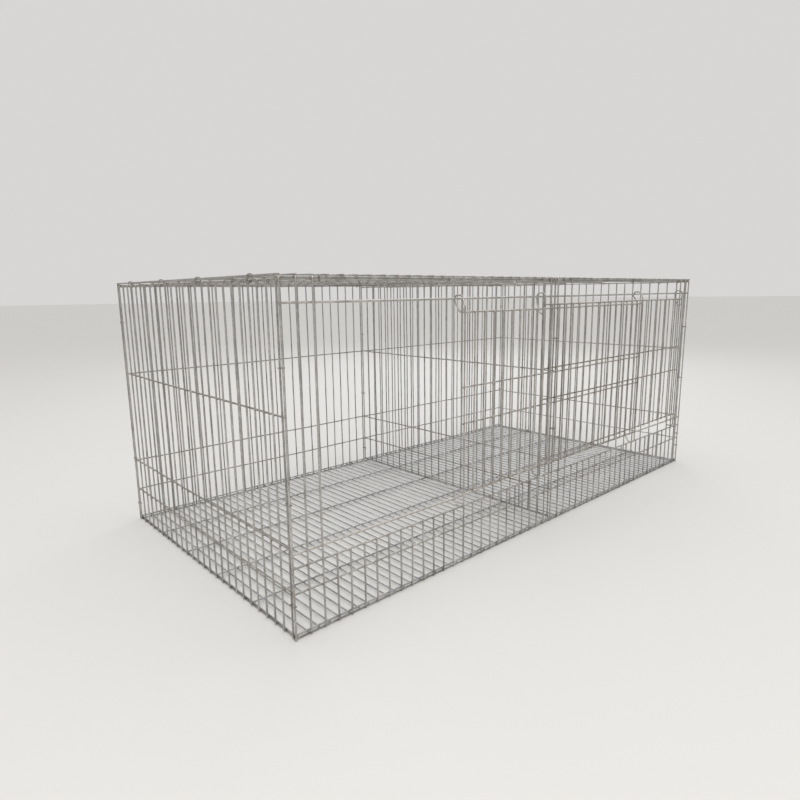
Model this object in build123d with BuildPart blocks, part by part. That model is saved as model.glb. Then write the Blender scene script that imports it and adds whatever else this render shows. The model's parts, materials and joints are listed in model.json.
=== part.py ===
"""Two-compartment welded wire cage with two hook-hung sliding doors."""
import os

from build123d import *

# Driving dimensions, mm
PITCH = 25.0                    # wall wire spacing
LENGTH = 50 * PITCH             # between the corner uprights' axes
DEPTH = 25 * PITCH
WIRE_R = 1.5
RAIL_R = 1.75
RAIL_Y = WIRE_R + RAIL_R          # rails lie behind the front uprights
FLOOR_R = 1.25
CLIP_R = 0.8
FLOOR_GAPS = 67                 # spaces between floor wires

# Heights of the level wires
BOTTOM_Z = WIRE_R                 # the lowest wires lie on the ground
LOW_Z = 68.5
BELOW_RAIL_Z = 105.5
LOWER_RAIL_Z = 127.0
UPPER_RAIL_Z = 467.5
TOP_Z = 497.0
WALL_HEIGHTS = (BOTTOM_Z, LOW_Z, 132.5, 319.0, TOP_Z)
ROOF_CROSS_Z = TOP_Z + 2 * WIRE_R
ROOF_Z = ROOF_CROSS_Z + 2 * WIRE_R   # roof wires running front to back, on top
FLOOR_Z = BOTTOM_Z + WIRE_R + FLOOR_R
FLOOR_CROSS_Z = FLOOR_Z + FLOOR_R + WIRE_R
DIVIDER_BOTTOM_Z = FLOOR_CROSS_Z + 2 * WIRE_R
TALL_TOP_Z = ROOF_Z - WIRE_R         # front and back uprights, up to the roof wires
UPRIGHT_TOP_Z = ROOF_CROSS_Z - WIRE_R
UPRIGHT_FOOT_Z = BOTTOM_Z          # trimmed at the lowest wires

# Doors: distance of each door's uprights in front of the front uprights
LEFT_DOOR_OUT = 15.0
RIGHT_DOOR_OUT = 7.25
DOOR_LEFT_X = 333.0             # left edge of each door, from the left corner
DOOR_RIGHT_X = 23 * PITCH - 4.0   # closed: its hooks stand against the tall uprights
DOOR_WIDTH = 25 * PITCH
DOOR_DROPS = (0.0, 124.0, 185.5, 308.0)   # level wires below the door's top wire
LEFT_DOOR_TOP_Z = 445.5
RIGHT_DOOR_TOP_Z = 452.5
HOOK_BEND = 3.5                 # radius of the hooks' bends

# The side panels stand just inside the front and back panels
SIDE_INSET = 7.0
SIDE_PITCH = (DEPTH - 2 * SIDE_INSET) / 25
CLIP_GAP = 0.4
CLIP_REACH = WIRE_R + CLIP_GAP + 2 * CLIP_R

# Row frame: origin at the bottom centre of everything, left door half open
X0 = -LENGTH / 2
Y0 = -(DEPTH + CLIP_REACH - LEFT_DOOR_OUT - WIRE_R) / 2


def rods_up(spots, low, high, radius):
    """Vertical wires at (x, y) spots measured from the front left corner."""
    with BuildSketch(Plane.XY.offset(low)) as ends:
        with Locations(*[(X0 + x, Y0 + y) for x, y in spots]):
            Circle(radius)
    extrude(ends.sketch, amount=high - low)


def rods_across(spots, start, end, radius):
    """Wires along X at (y, z) spots, between two x positions."""
    with BuildSketch(Plane.YZ.offset(X0 + start)) as ends:
        with Locations(*[(Y0 + y, z) for y, z in spots]):
            Circle(radius)
    extrude(ends.sketch, amount=end - start)


def rods_back(spots, start, end, radius):
    """Wires along Y at (x, z) spots, between two y positions."""
    with BuildSketch(Plane.ZX.offset(Y0 + start)) as ends:
        with Locations(*[(z, X0 + x) for x, z in spots]):
            Circle(radius)
    extrude(ends.sketch, amount=end - start)


def bent_wire(plane, corners):
    """A round wire along the given corners, bent to one radius at each."""
    with BuildLine(plane) as path:
        FilletPolyline(*corners, radius=HOOK_BEND)
    hook = path.wires()[0]
    with BuildSketch(Plane(origin=hook @ 0, z_dir=hook % 0)) as end:
        Circle(WIRE_R)
    sweep(end.sketch, path=hook)


def clip(plane, spread):
    """Closed wire clip around two wires whose axes are spread apart along the plane's x."""
    bend = WIRE_R + CLIP_GAP + CLIP_R
    half = spread / 2
    with BuildLine(plane) as path:
        Line((-half, bend), (half, bend))
        ThreePointArc((half, bend), (half + bend, 0), (half, -bend))
        Line((half, -bend), (-half, -bend))
        ThreePointArc((-half, -bend), (-half - bend, 0), (-half, bend))
    loop = path.wires()[0]
    with BuildSketch(Plane(origin=loop @ 0, z_dir=loop % 0)) as end:
        Circle(CLIP_R)
    sweep(end.sketch, path=loop)


def save(builder, node):
    builder.part.label = node
    export_step(builder.part, f"parts/{node}.step")


def tie(node, along, places, first, second):
    """Clips around two neighbouring wires that run along one axis, at the given places."""
    with BuildPart() as clips:
        for place in places:
            ends = []
            for u, v in (first, second):
                spot = {"x": (place, u, v), "y": (u, place, v), "z": (u, v, place)}[along]
                ends.append(Vector(X0 + spot[0], Y0 + spot[1], spot[2]))
            across = ends[1] - ends[0]
            normal = {"x": (1, 0, 0), "y": (0, 1, 0), "z": (0, 0, 1)}[along]
            middle = (ends[0] + ends[1]) * 0.5
            clip(Plane(origin=middle, x_dir=across, z_dir=normal), across.length)
    save(clips, node)


def side_panel(name, x, inward):
    """Upright panel across the depth, level wires on the inward side."""
    side_spots = [(x, SIDE_INSET + i * SIDE_PITCH) for i in range(26)]
    with BuildPart() as uprights:
        rods_up(side_spots, UPRIGHT_FOOT_Z, UPRIGHT_TOP_Z, WIRE_R)
    save(uprights, f"{name}_uprights")
    level_x = x + inward * 2 * WIRE_R
    with BuildPart() as levels:
        rods_back([(level_x, z) for z in WALL_HEIGHTS], 5.0, DEPTH - 5.0, WIRE_R)
    save(levels, f"{name}_cross_wires")


def door(name, edge_x, out, top_z, upper_bends, lower_bend):
    """Sliding wire door: uprights outside, level wires inside, hooks round both rails.

    A hook's leg carries on its door's end upright. Its bends are (y, z) corners from the rail's centre.
    """
    bottom_z = top_z - DOOR_DROPS[-1]
    spots = [(edge_x + i * PITCH, -out) for i in range(26)]
    with BuildPart() as uprights:
        rods_up(spots, bottom_z - WIRE_R, top_z + WIRE_R, WIRE_R)
    save(uprights, f"{name}_uprights")
    with BuildPart() as levels:
        level_y = 2 * WIRE_R - out
        rods_across([(level_y, top_z - drop) for drop in DOOR_DROPS],
                    edge_x - WIRE_R, edge_x + DOOR_WIDTH + WIRE_R, WIRE_R)
    save(levels, f"{name}_cross_wires")
    leg_y = -out - RAIL_Y
    with BuildPart() as hooks:
        for x, upper_bend in zip((edge_x, edge_x + DOOR_WIDTH), upper_bends):
            for rail_z, start_z, bend in (
                    (UPPER_RAIL_Z, top_z + WIRE_R, upper_bend),
                    (LOWER_RAIL_Z, bottom_z - WIRE_R, lower_bend)):
                rail = Plane(origin=(X0 + x, Y0 + RAIL_Y, rail_z), x_dir=(0, 1, 0), z_dir=(1, 0, 0))
                bent_wire(rail, [(leg_y, start_z - rail_z)] + bend)
    save(hooks, f"{name}_hooks")


os.makedirs("parts", exist_ok=True)

# Front panel: tall uprights at the ends and the middle, short ones under the doors
tall = [1, 2, 23, 24, 25, 26, 27, 48, 49]
short = [i for i in range(3, 48) if i not in tall]
with BuildPart() as front_corners:
    rods_up([(0, 0), (LENGTH, 0)], 0, TALL_TOP_Z, WIRE_R)
save(front_corners, "front_corner_uprights")
with BuildPart() as front_tall:
    rods_up([(i * PITCH, 0) for i in tall], UPRIGHT_FOOT_Z, TALL_TOP_Z, WIRE_R)
save(front_tall, "front_tall_uprights")
with BuildPart() as front_short:
    rods_up([(i * PITCH, 0) for i in short], UPRIGHT_FOOT_Z, BELOW_RAIL_Z + 1, WIRE_R)
save(front_short, "front_short_uprights")
with BuildPart() as front_levels:
    front_heights = (BOTTOM_Z, LOW_Z, BELOW_RAIL_Z, TOP_Z)
    rods_across([(2 * WIRE_R, z) for z in front_heights], -WIRE_R, LENGTH + WIRE_R, WIRE_R)
save(front_levels, "front_cross_wires")
with BuildPart() as rails:
    rods_across([(RAIL_Y, z) for z in (LOWER_RAIL_Z, UPPER_RAIL_Z)],
                -WIRE_R, LENGTH + WIRE_R, RAIL_R)
save(rails, "door_rails")

# Back panel
with BuildPart() as back_corners:
    rods_up([(0, DEPTH), (LENGTH, DEPTH)], 0, TALL_TOP_Z, WIRE_R)
save(back_corners, "back_corner_uprights")
with BuildPart() as back_uprights:
    rods_up([(i * PITCH, DEPTH) for i in range(1, 50)], UPRIGHT_FOOT_Z, TALL_TOP_Z, WIRE_R)
save(back_uprights, "back_uprights")
with BuildPart() as back_levels:
    rods_across([(DEPTH - 2 * WIRE_R, z) for z in WALL_HEIGHTS],
                -WIRE_R, LENGTH + WIRE_R, WIRE_R)
save(back_levels, "back_cross_wires")

# Side panels
side_panel("left_end", 0, 1)
side_panel("right_end", LENGTH, -1)

# Divider
with BuildPart() as divider_uprights:
    middle_spots = [(LENGTH / 2, SIDE_INSET + i * SIDE_PITCH) for i in range(26)]
    rods_up(middle_spots, DIVIDER_BOTTOM_Z - 1, UPRIGHT_TOP_Z, WIRE_R)
save(divider_uprights, "divider_uprights")
with BuildPart() as divider_levels:
    divider_heights = (DIVIDER_BOTTOM_Z,) + WALL_HEIGHTS[1:-1] + (TOP_Z - 4,)
    rods_back([(LENGTH / 2 + 2 * WIRE_R, z) for z in divider_heights], 5.5, DEPTH - 5.0, WIRE_R)
save(divider_levels, "divider_cross_wires")

# Roof: wires front to back, with a few cross wires below them
with BuildPart() as roof_wires:
    rods_back([(i * PITCH, ROOF_Z) for i in range(51)], -WIRE_R, DEPTH + WIRE_R, WIRE_R)
save(roof_wires, "roof_wires")
with BuildPart() as roof_levels:
    roof_cross_ys = [2 * WIRE_R] + [i * DEPTH / 5 for i in range(1, 5)] + [DEPTH - 2 * WIRE_R]
    rods_across([(y, ROOF_CROSS_Z) for y in roof_cross_ys], -WIRE_R, LENGTH + WIRE_R, WIRE_R)
save(roof_levels, "roof_cross_wires")

# Floor: close wires front to back, with a few cross wires on top of them
with BuildPart() as floor_wires:
    floor_step = (LENGTH - 4 * WIRE_R) / FLOOR_GAPS
    floor_spots = [(2 * WIRE_R + i * floor_step, FLOOR_Z) for i in range(FLOOR_GAPS + 1)]
    rods_back(floor_spots, WIRE_R + 0.1, DEPTH - WIRE_R - 0.1, FLOOR_R)
save(floor_wires, "floor_wires")
with BuildPart() as floor_levels:
    cross_step = (DEPTH - 4 * WIRE_R) / 5
    rods_across([(2 * WIRE_R + i * cross_step, FLOOR_CROSS_Z) for i in range(6)],
                WIRE_R + 0.1, LENGTH - WIRE_R - 0.1, WIRE_R)
save(floor_levels, "floor_cross_wires")

# Doors, both hung on the outside; the left one passes in front of the right one
left_crown = [(-18.25, -12.0), (-13.0, 2.5), (-8.5, 5.5)]
left_upper = left_crown + [(1.0, 5.5), (6.5, -2.0), (-8.5, -23.5), (-15.0, -16.5)]
left_short = left_crown + [(1.5, 5.5), (6.5, -2.0), (0.0, -11.8)]     # stays above the other door's top
left_lower = [(-18.25, -11.5), (-11.5, -15.5), (-4.0, -15.0), (4.8, -2.0), (3.5, 3.5)]
door("left_door", DOOR_LEFT_X, LEFT_DOOR_OUT, LEFT_DOOR_TOP_Z, (left_upper, left_short), left_lower)
right_upper = [(-10.5, 2.0), (-5.5, 7.0), (3.5, 7.0), (8.5, 1.5), (7.0, -15.0), (-3.0, -38.0), (-7.3, -27.0)]
right_lower = [(-10.5, -11.0), (-4.0, -15.5), (5.5, -13.0), (8.5, -2.0), (5.0, 6.0)]
door("right_door", DOOR_RIGHT_X, RIGHT_DOOR_OUT, RIGHT_DOOR_TOP_Z, (right_upper, right_upper), right_lower)

# Clips that tie the panels together
front_pair = (0, SIDE_INSET)
back_pair = (DEPTH - SIDE_INSET, DEPTH)
for node, x, (first_y, second_y), heights in (
        ("front_left_clips", 0, front_pair, (52.5, 200.0, 385.0)),
        ("front_right_clips", LENGTH, front_pair, (47.0, 81.0, 239.0, 378.0)),
        ("back_left_clips", 0, back_pair, (37.0, 137.5, 425.0)),
        ("back_right_clips", LENGTH, back_pair, (37.0, 137.5, 425.0)),
        ("divider_front_clips", LENGTH / 2, front_pair, (40.0, 200.0, 385.0)),
        ("divider_back_clips", LENGTH / 2, back_pair, (40.0, 200.0, 366.0))):
    tie(node, "z", heights, (x, first_y), (x, second_y))
side_places = (76.0, 242.0, 394.0, 552.0)
for side, edge, inner in (("left", 0, 2 * WIRE_R), ("right", LENGTH, LENGTH - 2 * WIRE_R)):
    tie(f"{side}_roof_clips", "y", side_places, (edge, ROOF_Z), (inner, TOP_Z))
long_places = [(i + 0.5) * PITCH for i in (2, 12, 24, 37, 47)]
for side, inner in (("front", 2 * WIRE_R), ("back", DEPTH - 2 * WIRE_R)):
    tie(f"{side}_roof_clips", "x", long_places, (inner, ROOF_CROSS_Z), (inner, TOP_Z))
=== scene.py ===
"""Looks of a galvanised wire cage with two sliding doors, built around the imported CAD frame.

Each CAD node is replaced by one mesh piece that stands where the node does: its wires with their weld
beads, its bent hooks, or its clip rings.
"""
import json
import math

import bmesh
import bpy
import numpy as np
from mathutils import Matrix, Vector


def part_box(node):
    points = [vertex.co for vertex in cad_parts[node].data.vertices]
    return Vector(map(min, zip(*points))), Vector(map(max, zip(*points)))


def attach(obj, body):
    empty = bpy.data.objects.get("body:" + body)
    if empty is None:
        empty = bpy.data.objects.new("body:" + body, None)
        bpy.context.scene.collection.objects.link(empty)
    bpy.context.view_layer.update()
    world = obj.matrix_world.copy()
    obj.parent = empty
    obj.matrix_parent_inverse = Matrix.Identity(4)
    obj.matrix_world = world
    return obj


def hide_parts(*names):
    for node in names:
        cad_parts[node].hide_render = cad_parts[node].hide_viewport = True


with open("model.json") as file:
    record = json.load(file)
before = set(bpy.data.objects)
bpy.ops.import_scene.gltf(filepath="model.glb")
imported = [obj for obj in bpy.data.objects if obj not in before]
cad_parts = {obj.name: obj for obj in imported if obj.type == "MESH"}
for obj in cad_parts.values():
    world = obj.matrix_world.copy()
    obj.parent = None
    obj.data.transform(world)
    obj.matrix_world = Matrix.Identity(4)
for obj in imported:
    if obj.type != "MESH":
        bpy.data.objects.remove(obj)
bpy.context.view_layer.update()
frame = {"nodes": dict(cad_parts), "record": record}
MM = 0.001
TURN = 2 * math.pi
X, Y, Z = 0, 1, 2
UNIT = np.eye(3)

# Wire meshes
SIDES = 10                # faces round a wire
RING_STEP = 16 * MM       # distance between a wire's rings
RING_GAP = 0.3 * MM       # rings of a wire are at least this far apart
CUT = 0.35 * MM           # chamfer of a sheared wire end
CUT_RADIUS = 0.78         # the cut's own radius, as a share of the wire's
COAT = (0.955, 0.998)     # the zinc's uneven radius, as a share of the wire's
STAIN_REACH = 5.0 * MM    # how far a weld's heat tint runs along a wire
INSIDE = 0.03 * MM        # gap from a wire's end to the end of its CAD solid
SAME_POINT = 0.01 * MM    # mesh points of one solid nearer than this are one
WELD_GAP = 0.7 * MM       # crossing wires nearer than this, surface to surface, are welded

# How a wire strays across its panel: a long wave, a short one, and a lean
LONG_WAVE = 0.42          # in metres, from crest to crest
SHORT_WAVE = 0.13
SHORT_SIZE = 0.35         # the short wave's size, as a share of the long one's
WAVE_SIZES = (0.4, 1.0)   # a wire's own size and length of a wave, as shares of these
WAVE_LENGTHS = (0.7, 1.3)
LEAN = 0.6                # the most a wire leans, as a share of its waver

# A weld's bead: its size along the two wires and across them, as shares of the wire's radius
BEAD_WIDE = 1.28
BEAD_THICK = 0.85
BEAD_WIDTHS = (0.88, 1.14)  # one bead's own sizes, as shares of these
BEAD_HEIGHTS = (0.85, 1.15)

# Every random draw comes from this generator, in the order of the lines below
rng = np.random.default_rng(17)


# ---------------------------------------------------------------- reading the CAD frame

def solids_of(node):
    """The (low corner, high corner) of every separate solid in a CAD node."""
    bm = bmesh.new()
    bm.from_mesh(frame["nodes"][node].data)
    bmesh.ops.remove_doubles(bm, verts=bm.verts, dist=SAME_POINT)
    unseen = set(bm.verts)
    boxes = []
    while unseen:
        stack = [unseen.pop()]
        points = []
        while stack:
            vert = stack.pop()
            points.append(vert.co[:])
            for edge in vert.link_edges:
                other = edge.other_vert(vert)
                if other in unseen:
                    unseen.remove(other)
                    stack.append(other)
        points = np.array(points)
        boxes.append((points.min(0), points.max(0)))
    bm.free()
    return sorted(boxes, key=lambda pair: tuple(np.round(pair[0], 4)))


class Wire:
    """A straight wire of the frame, with its own slight waver across the panel it belongs to."""

    def __init__(self, low, high, across, waver):
        size = high - low
        self.axis = int(size.argmax())
        self.across = across
        self.radius = size.min() / 2
        self.centre = (low + high) / 2
        self.start = low[self.axis] + INSIDE
        self.end = high[self.axis] - INSIDE
        self.length = self.end - self.start
        self.welds = []
        self.tone = rng.uniform(-1, 1)
        self.waves = []
        for wave, swing in ((LONG_WAVE, waver), (SHORT_WAVE, SHORT_SIZE * waver)):
            swing = swing * rng.uniform(*WAVE_SIZES)
            wave = wave * rng.uniform(*WAVE_LENGTHS)
            self.waves.append((swing, wave, rng.uniform(0, TURN)))
        self.lean = waver * rng.uniform(-LEAN, LEAN)
        self.taper = None     # the waver fades out over this length at both ends
        self.bow = None       # places along the wire, and how far it is bent across there

    def offset(self, at):
        """How far the wire strays across its panel at a place along it."""
        at = np.asarray(at, float)
        total = self.lean * ((at - self.start) / self.length - 0.5)
        for swing, wave, phase in self.waves:
            total = total + swing * np.sin(TURN * at / wave + phase)
        if self.taper:
            rise = np.minimum(at - self.start, self.end - at) / self.taper
            total = total * np.clip(rise, 0, 1)
        if self.bow:
            total = total + np.interp(at, *self.bow)
        return total

    def point(self, at):
        """Points of the wire's centre line at places along it."""
        at = np.atleast_1d(np.asarray(at, float))
        points = np.repeat(self.centre[None], len(at), 0)
        points[:, self.axis] = at
        points[:, self.across] += self.offset(at)
        return points


def wires_of(node, across, waver):
    """The straight wires of a CAD node, in a fixed order."""
    return [Wire(low, high, across, waver) for low, high in solids_of(node)]


def welds_of(first, second):
    """Welds of two sets of crossing wires: their places, and the axis across both wires at each."""
    found = []
    for a in first:
        for b in second:
            third = 3 - a.axis - b.axis
            if abs(a.centre[third] - b.centre[third]) > a.radius + b.radius + WELD_GAP:
                continue
            if not a.start <= b.centre[a.axis] <= a.end or not b.start <= a.centre[b.axis] <= b.end:
                continue
            spot_a = b.centre[a.axis] + float(b.offset(a.centre[b.axis]))
            spot_b = a.centre[b.axis] + float(a.offset(b.centre[a.axis]))
            share = a.radius / (a.radius + b.radius)
            place = np.zeros(3)
            place[a.axis] = spot_a
            place[b.axis] = spot_b
            place[third] = a.centre[third] + share * (b.centre[third] - a.centre[third])
            a.welds.append(spot_a)
            b.welds.append(spot_b)
            found.append((place, third))
    return found


# ---------------------------------------------------------------- meshes

class Shape:
    """Points and faces of one piece, gathered from its wires, welds and rings."""

    def __init__(self):
        self.points = []
        self.faces = []
        self.smooth = []
        self.stain = []
        self.tone = []
        self.along = []
        self.count = 0

    def add(self, points, faces, smooth, stain, tone, along):
        """Add a part: its points and faces, and what its finish needs to know at each point."""
        self.points.append(points)
        self.faces += [[i + self.count for i in face] for face in faces]
        self.smooth += smooth
        self.stain.append(stain)
        self.tone.append(np.full(len(points), tone))
        self.along.append(along)
        self.count += len(points)

    def build(self, name):
        """Put the piece in the scene as one mesh object."""
        mesh = bpy.data.meshes.new(name)
        mesh.from_pydata(np.concatenate(self.points).tolist(), [], self.faces)
        mesh.polygons.foreach_set("use_smooth", self.smooth)
        for label, values in (("stain", self.stain), ("tone", self.tone), ("along", self.along)):
            attribute = mesh.attributes.new(label, "FLOAT", "POINT")
            attribute.data.foreach_set("value", np.concatenate(values).astype(np.float32))
        mesh.update()
        piece = bpy.data.objects.new(name, mesh)
        bpy.context.scene.collection.objects.link(piece)
        return piece


def frames_along(path):
    """Two directions across the path at every point, turning with it."""
    runs = np.diff(path, axis=0)
    runs /= np.linalg.norm(runs, axis=1)[:, None]
    tangents = np.concatenate([runs[:1], runs[:-1] + runs[1:], runs[-1:]])
    tangents /= np.linalg.norm(tangents, axis=1)[:, None]
    first = np.cross(tangents[0], UNIT[np.abs(tangents[0]).argmin()])
    sides = [first / np.linalg.norm(first)]
    for tangent in tangents[1:]:
        side = sides[-1] - tangent * (sides[-1] @ tangent)
        sides.append(side / np.linalg.norm(side))
    sides = np.array(sides)
    return sides, np.cross(tangents, sides)


def tube(shape, path, radii, stain, tone, along, sides=SIDES):
    """A round wire along a path, closed with a chamfered cut at both ends."""
    u, v = frames_along(path)
    angles = np.arange(sides) * TURN / sides
    rings = np.cos(angles)[None, :, None] * u[:, None] + np.sin(angles)[None, :, None] * v[:, None]
    points = (path[:, None] + rings * radii[:, None, None]).reshape(-1, 3)
    rows = len(path)
    faces = []
    smooth = []
    for row in range(rows - 1):
        lower = row * sides
        upper = lower + sides
        is_cut = row in (0, rows - 2)
        for i in range(sides):
            j = (i + 1) % sides
            faces.append([lower + i, lower + j, upper + j, upper + i])
            smooth.append(not is_cut)
    faces.append(list(range(sides))[::-1])
    faces.append(list(range((rows - 1) * sides, rows * sides)))
    smooth += [False, False]
    shape.add(points, faces, smooth, np.repeat(stain, sides), tone, np.repeat(along, sides))


def stain_at(places, welds):
    """Heat tint along a wire: strong at a weld, fading away from it."""
    if not welds:
        return np.zeros(len(places))
    near = np.abs(places[:, None] - np.array(welds)[None, :]).min(1)
    return np.exp(-(near / STAIN_REACH) ** 2)


def straight(shape, wire):
    """A straight wire with rings between and at its welds, and a slightly uneven zinc coat."""
    steps = np.arange(wire.start + CUT, wire.end - CUT, RING_STEP)
    places = np.concatenate([[wire.start, wire.start + CUT], steps[1:], [wire.end - CUT, wire.end]])
    near = [place + side * STAIN_REACH for place in wire.welds for side in (-1, 0, 1)]
    near = [place for place in near if wire.start + 2 * CUT < place < wire.end - 2 * CUT]
    places = np.unique(np.round(np.concatenate([places, near]), 6))
    places = places[np.concatenate([[True], np.diff(places) > RING_GAP])]
    radii = wire.radius * rng.uniform(*COAT, len(places))
    radii[[0, -1]] = CUT_RADIUS * wire.radius
    tube(shape, wire.point(places), radii, stain_at(places, wire.welds), wire.tone, places)


def ball(rows, columns):
    """Points and faces of a coarse unit ball."""
    points = [(0, 0, -1)]
    for row in range(1, rows):
        height = -math.cos(math.pi * row / rows)
        reach = math.sin(math.pi * row / rows)
        for i in range(columns):
            angle = TURN * i / columns
            points.append((reach * math.cos(angle), reach * math.sin(angle), height))
    points.append((0, 0, 1))
    faces = [[0, 1 + (i + 1) % columns, 1 + i] for i in range(columns)]
    for row in range(rows - 2):
        lower = 1 + row * columns
        for i in range(columns):
            j = (i + 1) % columns
            faces.append([lower + i, lower + j, lower + columns + j, lower + columns + i])
    top = len(points) - 1
    faces += [[top, top - columns + i, top - columns + (i + 1) % columns] for i in range(columns)]
    return np.array(points), faces


BALL = ball(rows=5, columns=8)


def beads(shape, places, radius):
    """The flattened bead of fused metal where two wires are welded, never below the ground."""
    points, faces = BALL
    for place, third in places:
        size = np.full(3, BEAD_WIDE * radius) * rng.uniform(*BEAD_WIDTHS, 3)
        size[third] = BEAD_THICK * radius * rng.uniform(*BEAD_HEIGHTS)
        size[Z] = min(size[Z], place[Z])
        shape.add(place + points * size, faces, [True] * len(faces),
                  np.full(len(points), 1.0), rng.uniform(-1, 1), points[:, 0] * radius)


BEND_STEP = 12            # degrees of a bend from point to point


def bent(corners, radius):
    """A flat line through the corners, rounded to one radius."""
    corners = [np.array(corner, float) for corner in corners]
    line = [corners[0]]
    for before, corner, after in zip(corners, corners[1:], corners[2:]):
        into = (corner - before) / np.linalg.norm(corner - before)
        out = (after - corner) / np.linalg.norm(after - corner)
        turn = math.atan2(into[0] * out[1] - into[1] * out[0], float(into @ out))
        reach = radius * math.tan(abs(turn) / 2)
        spoke = math.copysign(radius, turn) * np.array([into[1], -into[0]])
        centre = corner - into * reach - spoke
        steps = max(3, int(abs(math.degrees(turn)) / BEND_STEP))
        for step in range(steps + 1):
            cos, sin = math.cos(turn * step / steps), math.sin(turn * step / steps)
            line.append(centre + (cos * spoke[0] - sin * spoke[1], sin * spoke[0] + cos * spoke[1]))
    line.append(corners[-1])
    return np.array(line)


def lengths_along(path):
    """The distance along a path to each of its points."""
    return np.concatenate([[0], np.cumsum(np.linalg.norm(np.diff(path, axis=0), axis=1))])


def towards(end, near):
    """Where the chamfer of a cut starts, on the way from a wire's end to its next point."""
    return end + (near - end) * min(1, CUT / np.linalg.norm(near - end))


def bent_wire(shape, line, x, radius, tone, stain):
    """A bent round wire: a flat line in Y and Z, at one place on X."""
    path = np.column_stack([np.full(len(line), x), line])
    first, last = towards(path[0], path[1]), towards(path[-1], path[-2])
    path = np.concatenate([path[:1], [first], path[1:-1], [last], path[-1:]])
    radii = np.full(len(path), radius)
    radii[[0, -1]] = CUT_RADIUS * radius
    tube(shape, path, radii, np.full(len(path), stain), tone, lengths_along(path))


# ---------------------------------------------------------------- materials

# Sizes of the zinc's features, as texture scales per metre
PATCHES = 34.0            # duller and brighter areas
BLOTCHES = 190.0          # the uneven tint round a weld
CRYSTALS = 420.0
RUST_SPOTS = 620.0
GRAIN = 1500.0
DRAWN = 1.6               # lines along the wire, over the three numbers below
DRAWN_ROUND = 5.0         # how fast they change round the wire, along it, and from wire to wire
DRAWN_ALONG = 26.0
DRAWN_TONE = 9.0
MIDDLE = (0.3, 0.7)       # where nearly all of a noise texture's values lie
RUST = (0.16, 0.075, 0.035)


def link(tree, output, node, socket):
    tree.links.new(output, node.inputs[socket])


def noise(tree, vector, scale, detail=3.0, rough=0.55):
    node = tree.nodes.new("ShaderNodeTexNoise")
    node.inputs["Scale"].default_value = scale
    node.inputs["Detail"].default_value = detail
    node.inputs["Roughness"].default_value = rough
    link(tree, vector, node, "Vector")
    return node.outputs["Fac"]


def ranged(tree, value, low, high, to_low, to_high):
    """A value carried from one range to another, and held inside it."""
    node = tree.nodes.new("ShaderNodeMapRange")
    for socket, number in (("From Min", low), ("From Max", high), ("To Min", to_low), ("To Max", to_high)):
        node.inputs[socket].default_value = number
    link(tree, value, node, "Value")
    return node.outputs["Result"]


def maths(tree, operation, first, second):
    node = tree.nodes.new("ShaderNodeMath")
    node.operation = operation
    for index, value in enumerate((first, second)):
        if isinstance(value, float):
            node.inputs[index].default_value = value
        else:
            link(tree, value, node, index)
    return node.outputs["Value"]


def summed(tree, first, *others):
    """The sum of several values."""
    for other in others:
        first = maths(tree, "ADD", first, other)
    return first


def mixed(tree, factor, first, second):
    """A mix of two colours, each a plain colour or a node's output."""
    node = tree.nodes.new("ShaderNodeMix")
    node.data_type = "RGBA"
    link(tree, factor, node, "Factor")
    for socket, colour in (("A", first), ("B", second)):
        target = [entry for entry in node.inputs if entry.name == socket and entry.type == "RGBA"][0]
        if isinstance(colour, tuple):
            target.default_value = (*colour, 1)
        else:
            tree.links.new(colour, target)
    return [entry for entry in node.outputs if entry.type == "RGBA"][0]


def attribute(tree, name):
    """One of the numbers that Shape.build stores at every point."""
    node = tree.nodes.new("ShaderNodeAttribute")
    node.attribute_name = name
    return node.outputs["Fac"]


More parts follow.
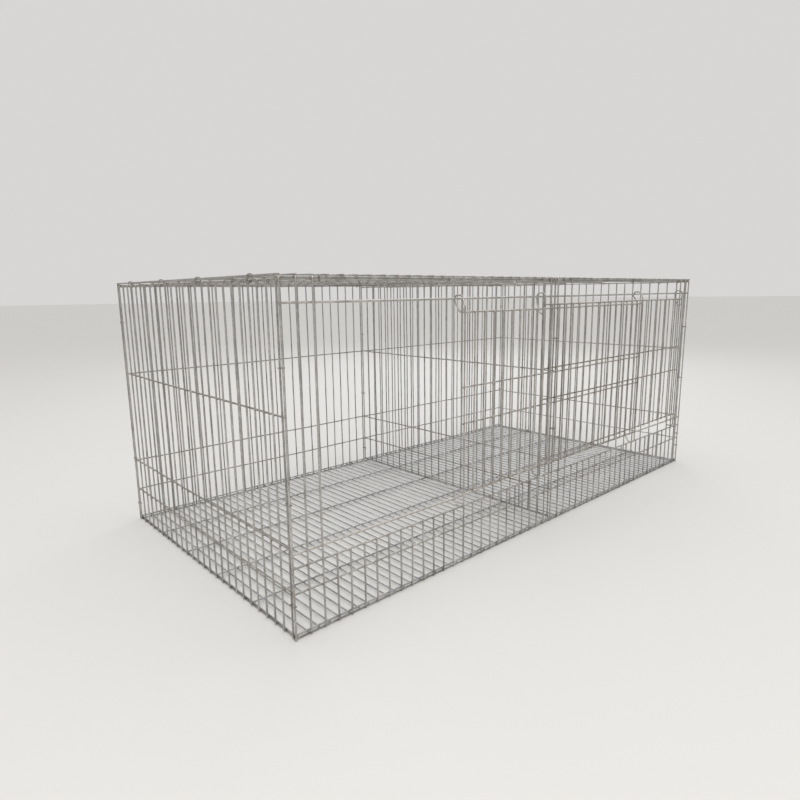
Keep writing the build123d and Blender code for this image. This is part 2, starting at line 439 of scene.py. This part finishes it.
def zinc(name, dark, light, tint, rust=0.5, rough=0.37):
    """Galvanised steel wire: zinc patches and fine crystals, drawing lines, tint and rust at the welds."""
    material = bpy.data.materials.new(name)
    material.use_nodes = True
    tree = material.node_tree
    shader = tree.nodes["Principled BSDF"]
    place = tree.nodes.new("ShaderNodeTexCoord").outputs["Object"]

    # Patches of duller and brighter zinc, then its millimetre crystals, then a fine grain
    patches = noise(tree, place, PATCHES)
    crystals = tree.nodes.new("ShaderNodeTexVoronoi")
    crystals.inputs["Scale"].default_value = CRYSTALS
    link(tree, place, crystals, "Vector")
    split = tree.nodes.new("ShaderNodeSeparateColor")
    link(tree, crystals.outputs["Color"], split, "Color")
    crystal = split.outputs["Red"]
    grain = noise(tree, place, GRAIN, 4.0, 0.65)

    # Lines left by the drawing die run along the wire, so they vary with the direction a face looks
    geometry = tree.nodes.new("ShaderNodeNewGeometry")
    spread = tree.nodes.new("ShaderNodeVectorMath")
    spread.operation = "SCALE"
    spread.inputs["Scale"].default_value = DRAWN_ROUND
    link(tree, geometry.outputs["Normal"], spread, 0)
    runs = tree.nodes.new("ShaderNodeCombineXYZ")
    link(tree, maths(tree, "MULTIPLY", attribute(tree, "along"), DRAWN_ALONG), runs, "X")
    link(tree, maths(tree, "MULTIPLY", attribute(tree, "tone"), DRAWN_TONE), runs, "Y")
    lines_at = tree.nodes.new("ShaderNodeVectorMath")
    link(tree, spread.outputs["Vector"], lines_at, 0)
    link(tree, runs.outputs["Vector"], lines_at, 1)
    lines = noise(tree, lines_at.outputs["Vector"], DRAWN, 3.0, 0.6)

    shade = summed(tree,
                   ranged(tree, patches, *MIDDLE, 0.0, 0.5),
                   ranged(tree, crystal, 0.0, 1.0, -0.12, 0.16),
                   ranged(tree, grain, *MIDDLE, -0.12, 0.2),
                   ranged(tree, lines, *MIDDLE, -0.1, 0.25),
                   ranged(tree, attribute(tree, "tone"), -1.0, 1.0, -0.16, 0.16))
    colour = mixed(tree, shade, dark, light)

    # Straw and brown tint where a weld burned the zinc, and small rust spots in it
    stain = attribute(tree, "stain")
    blotches = noise(tree, place, BLOTCHES, 3.0, 0.6)
    burned = maths(tree, "MULTIPLY", stain, ranged(tree, blotches, 0.38, 0.62, 0.0, 0.42))
    colour = mixed(tree, burned, colour, tint)
    spots = ranged(tree, noise(tree, place, RUST_SPOTS), 0.58, 0.68, 0.0, rust)
    colour = mixed(tree, maths(tree, "MULTIPLY", stain, spots), colour, RUST)
    link(tree, colour, shader, "Base Color")

    uneven = summed(tree,
                    ranged(tree, grain, *MIDDLE, rough - 0.08, rough + 0.1),
                    ranged(tree, patches, *MIDDLE, 0.08, -0.06),
                    maths(tree, "MULTIPLY", burned, 0.22))
    link(tree, uneven, shader, "Roughness")
    shader.inputs["Metallic"].default_value = 0.86
    shader.inputs["Specular IOR Level"].default_value = 0.55

    height = summed(tree,
                    maths(tree, "MULTIPLY", grain, 0.6),
                    maths(tree, "MULTIPLY", lines, 0.5),
                    maths(tree, "MULTIPLY", crystal, 0.2))
    bump = tree.nodes.new("ShaderNodeBump")
    bump.inputs["Strength"].default_value = 0.45
    bump.inputs["Distance"].default_value = 0.10 * MM
    link(tree, height, bump, "Height")
    link(tree, bump.outputs["Normal"], shader, "Normal")
    return material


# Each slot's dark and light zinc and its tint at the welds. The door and rail zinc is warmer and lighter,
# and the floor zinc cooler, than the cage's: painted warm and cool light on one zinc.
FINISHES = {
    "cage_wire": zinc("cage_zinc", (0.26, 0.252, 0.24), (0.66, 0.648, 0.625), (0.27, 0.20, 0.14)),
    "door_wire": zinc("door_zinc", (0.28, 0.263, 0.245), (0.70, 0.67, 0.635), (0.29, 0.21, 0.145)),
    "rail_wire": zinc("rail_zinc", (0.34, 0.318, 0.295), (0.76, 0.73, 0.69), (0.31, 0.225, 0.155),
                      rough=0.30),
    "floor_wire": zinc("floor_zinc", (0.27, 0.273, 0.28), (0.67, 0.68, 0.695), (0.26, 0.22, 0.18),
                       rust=0.3),
    "clip_wire": zinc("clip_zinc", (0.20, 0.19, 0.175), (0.52, 0.50, 0.47), (0.20, 0.14, 0.095),
                      rust=0.6),
}
SLOTS = {row["node"]: row["material_slot"] for row in frame["record"]["subparts"]}
BODIES = {node: body for body, nodes in frame["record"]["behaviour"]["bodies"].items() for node in nodes}


def finish_piece(shape, node, name):
    """Put a piece in the scene for one CAD node, on the node's body and with the node's finish."""
    piece = shape.build(name)
    piece.data.materials.append(FINISHES[SLOTS[node]])
    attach(piece, BODIES[node])
    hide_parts(node)


# ---------------------------------------------------------------- straight wires, panel by panel

# Each panel: one set of nodes and the axis its wires may stray along, then the same for the set it crosses
PANELS = (
    (("front_corner_uprights", "front_tall_uprights", "front_short_uprights"), X,
     ("front_cross_wires", "door_rails"), Z),
    (("back_corner_uprights", "back_uprights"), X, ("back_cross_wires",), Z),
    (("left_end_uprights",), Y, ("left_end_cross_wires",), Z),
    (("right_end_uprights",), Y, ("right_end_cross_wires",), Z),
    (("divider_uprights",), Y, ("divider_cross_wires",), Z),
    (("roof_wires",), X, ("roof_cross_wires",), Y),
    (("floor_wires",), X, ("floor_cross_wires",), Y),
    (("left_door_uprights",), X, ("left_door_cross_wires",), Z),
    (("right_door_uprights",), X, ("right_door_cross_wires",), Z),
)
WAVER = 0.55 * MM         # how far a wire strays, times less than 1 for the stiffer ones
CALM = {"front_corner_uprights": 0.4, "back_corner_uprights": 0.4, "door_rails": 0.3}
LOWEST = 3 * MM           # wires centred below this lie straight on the ground
DOOR_EDGE_TAPER = 30 * MM  # a door's edge wires run straight into their hooks

# The lower rail's bow: distances from its left end, and its height there
RAIL_BOW = ((0.0, 0.0), (0.14, -0.5 * MM), (0.33, -2.0 * MM),
            (0.45, 0.3 * MM), (0.51, 2.2 * MM), (0.60, 1.1 * MM))
RAIL_RIGHT_END = 0.4 * MM

for first_nodes, first_across, second_nodes, second_across in PANELS:
    sets = {}
    for nodes, across in ((first_nodes, first_across), (second_nodes, second_across)):
        for node in nodes:
            sets[node] = wires_of(node, across, WAVER * CALM.get(node, 1.0))
    for node, wires in sets.items():
        if node.endswith("_door_uprights"):
            for wire in (wires[0], wires[-1]):
                wire.taper = DOOR_EDGE_TAPER
        if node == "door_rails":
            rail = min(wires, key=lambda wire: wire.centre[Z])
            rail.bow = ([rail.start + reach for reach, height in RAIL_BOW] + [-rail.start],
                        [height for reach, height in RAIL_BOW] + [RAIL_RIGHT_END])
        for wire in wires:
            if wire.centre[Z] < LOWEST:
                wire.waves = []
                wire.lean = 0.0
    crossings = {second: [spot for first in first_nodes for spot in welds_of(sets[first], sets[second])]
                 for second in second_nodes}
    for node, wires in sets.items():
        shape = Shape()
        for wire in wires:
            straight(shape, wire)
        beads(shape, crossings.get(node, []), wires[0].radius)
        finish_piece(shape, node, node + "_wire")

# ---------------------------------------------------------------- door hooks

HOOK_BEND = 3.5 * MM
HOOK_OVERLAP = 2.0 * MM   # a hook starts this far inside the end of its door's edge wire
HOOK_STAIN = 0.15

# The hooks' corners in Y and Z, in millimetres from the middle of their rail
LEFT_UPPER = [(-18.25, -12.0), (-13.0, 2.5), (-8.5, 5.5), (1.0, 5.5), (6.5, -2.0),
              (-8.5, -23.5), (-15.0, -16.5)]
LEFT_SHORT = LEFT_UPPER[:3] + [(1.5, 5.5), (6.5, -2.0), (0.0, -11.8)]
LEFT_LOWER = [(-18.25, -11.5), (-11.5, -15.5), (-4.0, -15.0), (4.8, -2.0), (3.5, 3.5)]
RIGHT_UPPER = [(-10.5, 2.0), (-5.5, 7.0), (3.5, 7.0), (8.5, 1.5), (7.0, -15.0),
               (-3.0, -38.0), (-7.3, -27.0)]
RIGHT_LOWER = [(-10.5, -11.0), (-4.0, -15.5), (5.5, -13.0), (8.5, -2.0), (5.0, 6.0)]
HOOKS = {"left_door": (LEFT_UPPER, LEFT_SHORT, LEFT_LOWER),
         "right_door": (RIGHT_UPPER, RIGHT_UPPER, RIGHT_LOWER)}

rail_boxes = solids_of("door_rails")
lower_rail_z, upper_rail_z = sorted(((low + high) / 2)[Z] for low, high in rail_boxes)
rail_y = ((rail_boxes[0][0] + rail_boxes[0][1]) / 2)[Y]
for door, (upper_left, upper_right, lower) in HOOKS.items():
    door_low, door_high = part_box(door + "_uprights")
    hook_boxes = solids_of(door + "_hooks")
    lefts = sorted({round(float(low[X]), 4) for low, high in hook_boxes})
    wire_r = (hook_boxes[0][1] - hook_boxes[0][0])[X] / 2
    shape = Shape()
    for left, upper in ((lefts[0], upper_left), (lefts[-1], upper_right)):
        for rail_z, start_z, corners in ((upper_rail_z, door_high[Z] - HOOK_OVERLAP, upper),
                                         (lower_rail_z, door_low[Z] + HOOK_OVERLAP, lower)):
            line = [(rail_y + y * MM, rail_z + z * MM) for y, z in corners]
            line.insert(0, (line[0][0], start_z))
            bent_wire(shape, bent(line, HOOK_BEND), left + wire_r, wire_r, rng.uniform(-1, 1), HOOK_STAIN)
    finish_piece(shape, door + "_hooks", door + "_hooks_wire")

# ---------------------------------------------------------------- clips

CLIP_SIDES = 8
CLIP_STEPS = 40
CLIP_LAP = 0.75 * MM      # the ring's two ends stand this far to either side of its middle
CLIP_START = 0.06         # where the ring starts and how far past a full turn it ends, in radians
CLIP_PAST = 0.1
CLIP_SQUARE = 0.72        # 1 makes an oval ring, less a boxier one
CLIP_CUT_RADIUS = 0.6     # the cut's own radius, as a share of the wire's
CLIP_STAIN = 0.35


def ring(shape, low, high):
    """A wire ring closed round two wires: a rounded box in the plane across them, its ends lapping."""
    size = high - low
    normal = int(size.argmin())
    radius = size[normal] / 2
    angles = rng.uniform(0, TURN) + np.linspace(CLIP_START, TURN + CLIP_PAST, CLIP_STEPS)
    path = np.repeat((low + high)[None] / 2, CLIP_STEPS, 0)
    plane = [axis for axis in (X, Y, Z) if axis != normal]
    for axis, swing in zip(plane, (np.cos(angles), np.sin(angles))):
        path[:, axis] += (size[axis] / 2 - radius) * np.sign(swing) * np.abs(swing) ** CLIP_SQUARE
    path[:, normal] += np.linspace(-CLIP_LAP, CLIP_LAP, CLIP_STEPS)
    radii = np.full(CLIP_STEPS, radius)
    radii[[0, -1]] = CLIP_CUT_RADIUS * radius
    stain = np.full(CLIP_STEPS, CLIP_STAIN)
    tube(shape, path, radii, stain, rng.uniform(-1, 1), lengths_along(path), CLIP_SIDES)


for node in sorted(frame["nodes"]):
    if node.endswith("_clips"):
        shape = Shape()
        for low, high in solids_of(node):
            ring(shape, low, high)
        finish_piece(shape, node, node + "_ring")

# ---------------------------------------------------------------- stage, lights, camera

FLOOR_RADIUS = 40.0
FLOOR_COLOUR = (0.66, 0.652, 0.64)
SKY_COLOUR = (1.0, 0.99, 0.975)
SKY_LEVEL = 0.24          # strength of the light from the horizon
SKY_ABOVE = 1.25          # and from straight above
BACKDROP = 0.68           # how bright the camera sees it

floor_mesh = bpy.data.meshes.new("stage_floor")
floor_bm = bmesh.new()
bmesh.ops.create_circle(floor_bm, cap_ends=True, segments=96, radius=FLOOR_RADIUS)
floor_bm.to_mesh(floor_mesh)
floor_bm.free()
floor = bpy.data.objects.new("stage_floor", floor_mesh)
bpy.context.scene.collection.objects.link(floor)
floor_paint = bpy.data.materials.new("stage_paint")
floor_paint.use_nodes = True
floor_shader = floor_paint.node_tree.nodes["Principled BSDF"]
floor_shader.inputs["Base Color"].default_value = (*FLOOR_COLOUR, 1)
floor_shader.inputs["Roughness"].default_value = 0.85
floor_mesh.materials.append(floor_paint)

# The light comes mostly from above; the camera itself sees a plain pale backdrop
world = bpy.data.worlds.new("studio")
world.use_nodes = True
sky = world.node_tree
backdrop = sky.nodes["Background"]
direction = sky.nodes.new("ShaderNodeSeparateXYZ")
link(sky, sky.nodes.new("ShaderNodeTexCoord").outputs["Generated"], direction, "Vector")
glow = ranged(sky, direction.outputs["Z"], 0.0, 1.0, SKY_LEVEL, SKY_ABOVE)
seen = sky.nodes.new("ShaderNodeLightPath").outputs["Is Camera Ray"]
strength = sky.nodes.new("ShaderNodeMix")
link(sky, seen, strength, "Factor")
link(sky, glow, strength, "A")
strength.inputs["B"].default_value = BACKDROP
link(sky, strength.outputs["Result"], backdrop, "Strength")
backdrop.inputs["Color"].default_value = (*SKY_COLOUR, 1)
bpy.context.scene.world = world
bpy.context.scene.view_settings.view_transform = "Standard"


def softbox(name, place, aim, size, power, colour):
    """A soft rectangular lamp, with its power in watts."""
    light = bpy.data.lights.new(name, "AREA")
    light.shape = "RECTANGLE"
    light.size, light.size_y = size
    light.energy = power
    light.color = colour
    lamp = bpy.data.objects.new(name, light)
    lamp.location = place
    lamp.rotation_euler = (Vector(aim) - Vector(place)).to_track_quat("-Z", "Y").to_euler()
    bpy.context.scene.collection.objects.link(lamp)


softbox("key", (-1.9, -2.1, 2.0), (0.1, 0, 0.2), (0.8, 1.2), 30, (1.0, 0.97, 0.93))
softbox("top", (0.2, 0.1, 2.4), (0, 0, 0), (2.0, 1.2), 8, (0.97, 0.985, 1.0))
softbox("rim", (2.3, 1.8, 2.1), (0, 0, 0.25), (1.2, 1.0), 17, (0.95, 0.98, 1.0))

# Pinhole camera at the viewing angle of the original: place, direction, tilt and field of view
CAMERA_PLACE = (-1.0081, -0.9494, 0.4783)
CAMERA_YAW = 0.7376           # from +Y towards +X
CAMERA_PITCH = -0.1838
CAMERA_ROLL = -0.0126
CAMERA_LENS = 26.0
CAMERA_SENSOR = 36.0

forward = Vector((math.sin(CAMERA_YAW) * math.cos(CAMERA_PITCH),
                  math.cos(CAMERA_YAW) * math.cos(CAMERA_PITCH),
                  math.sin(CAMERA_PITCH)))
level = Vector((math.cos(CAMERA_YAW), -math.sin(CAMERA_YAW), 0))
upward = level.cross(forward)
right = level * math.cos(CAMERA_ROLL) + upward * math.sin(CAMERA_ROLL)
top = upward * math.cos(CAMERA_ROLL) - level * math.sin(CAMERA_ROLL)
lens = bpy.data.cameras.new("camera")
lens.sensor_width = CAMERA_SENSOR
lens.lens = CAMERA_LENS
lens.clip_start = 0.01
camera = bpy.data.objects.new("camera", lens)
facing = Matrix((right, top, -forward)).transposed()
camera.matrix_world = Matrix.Translation(CAMERA_PLACE) @ facing.to_4x4()
bpy.context.scene.collection.objects.link(camera)
bpy.context.scene.camera = camera
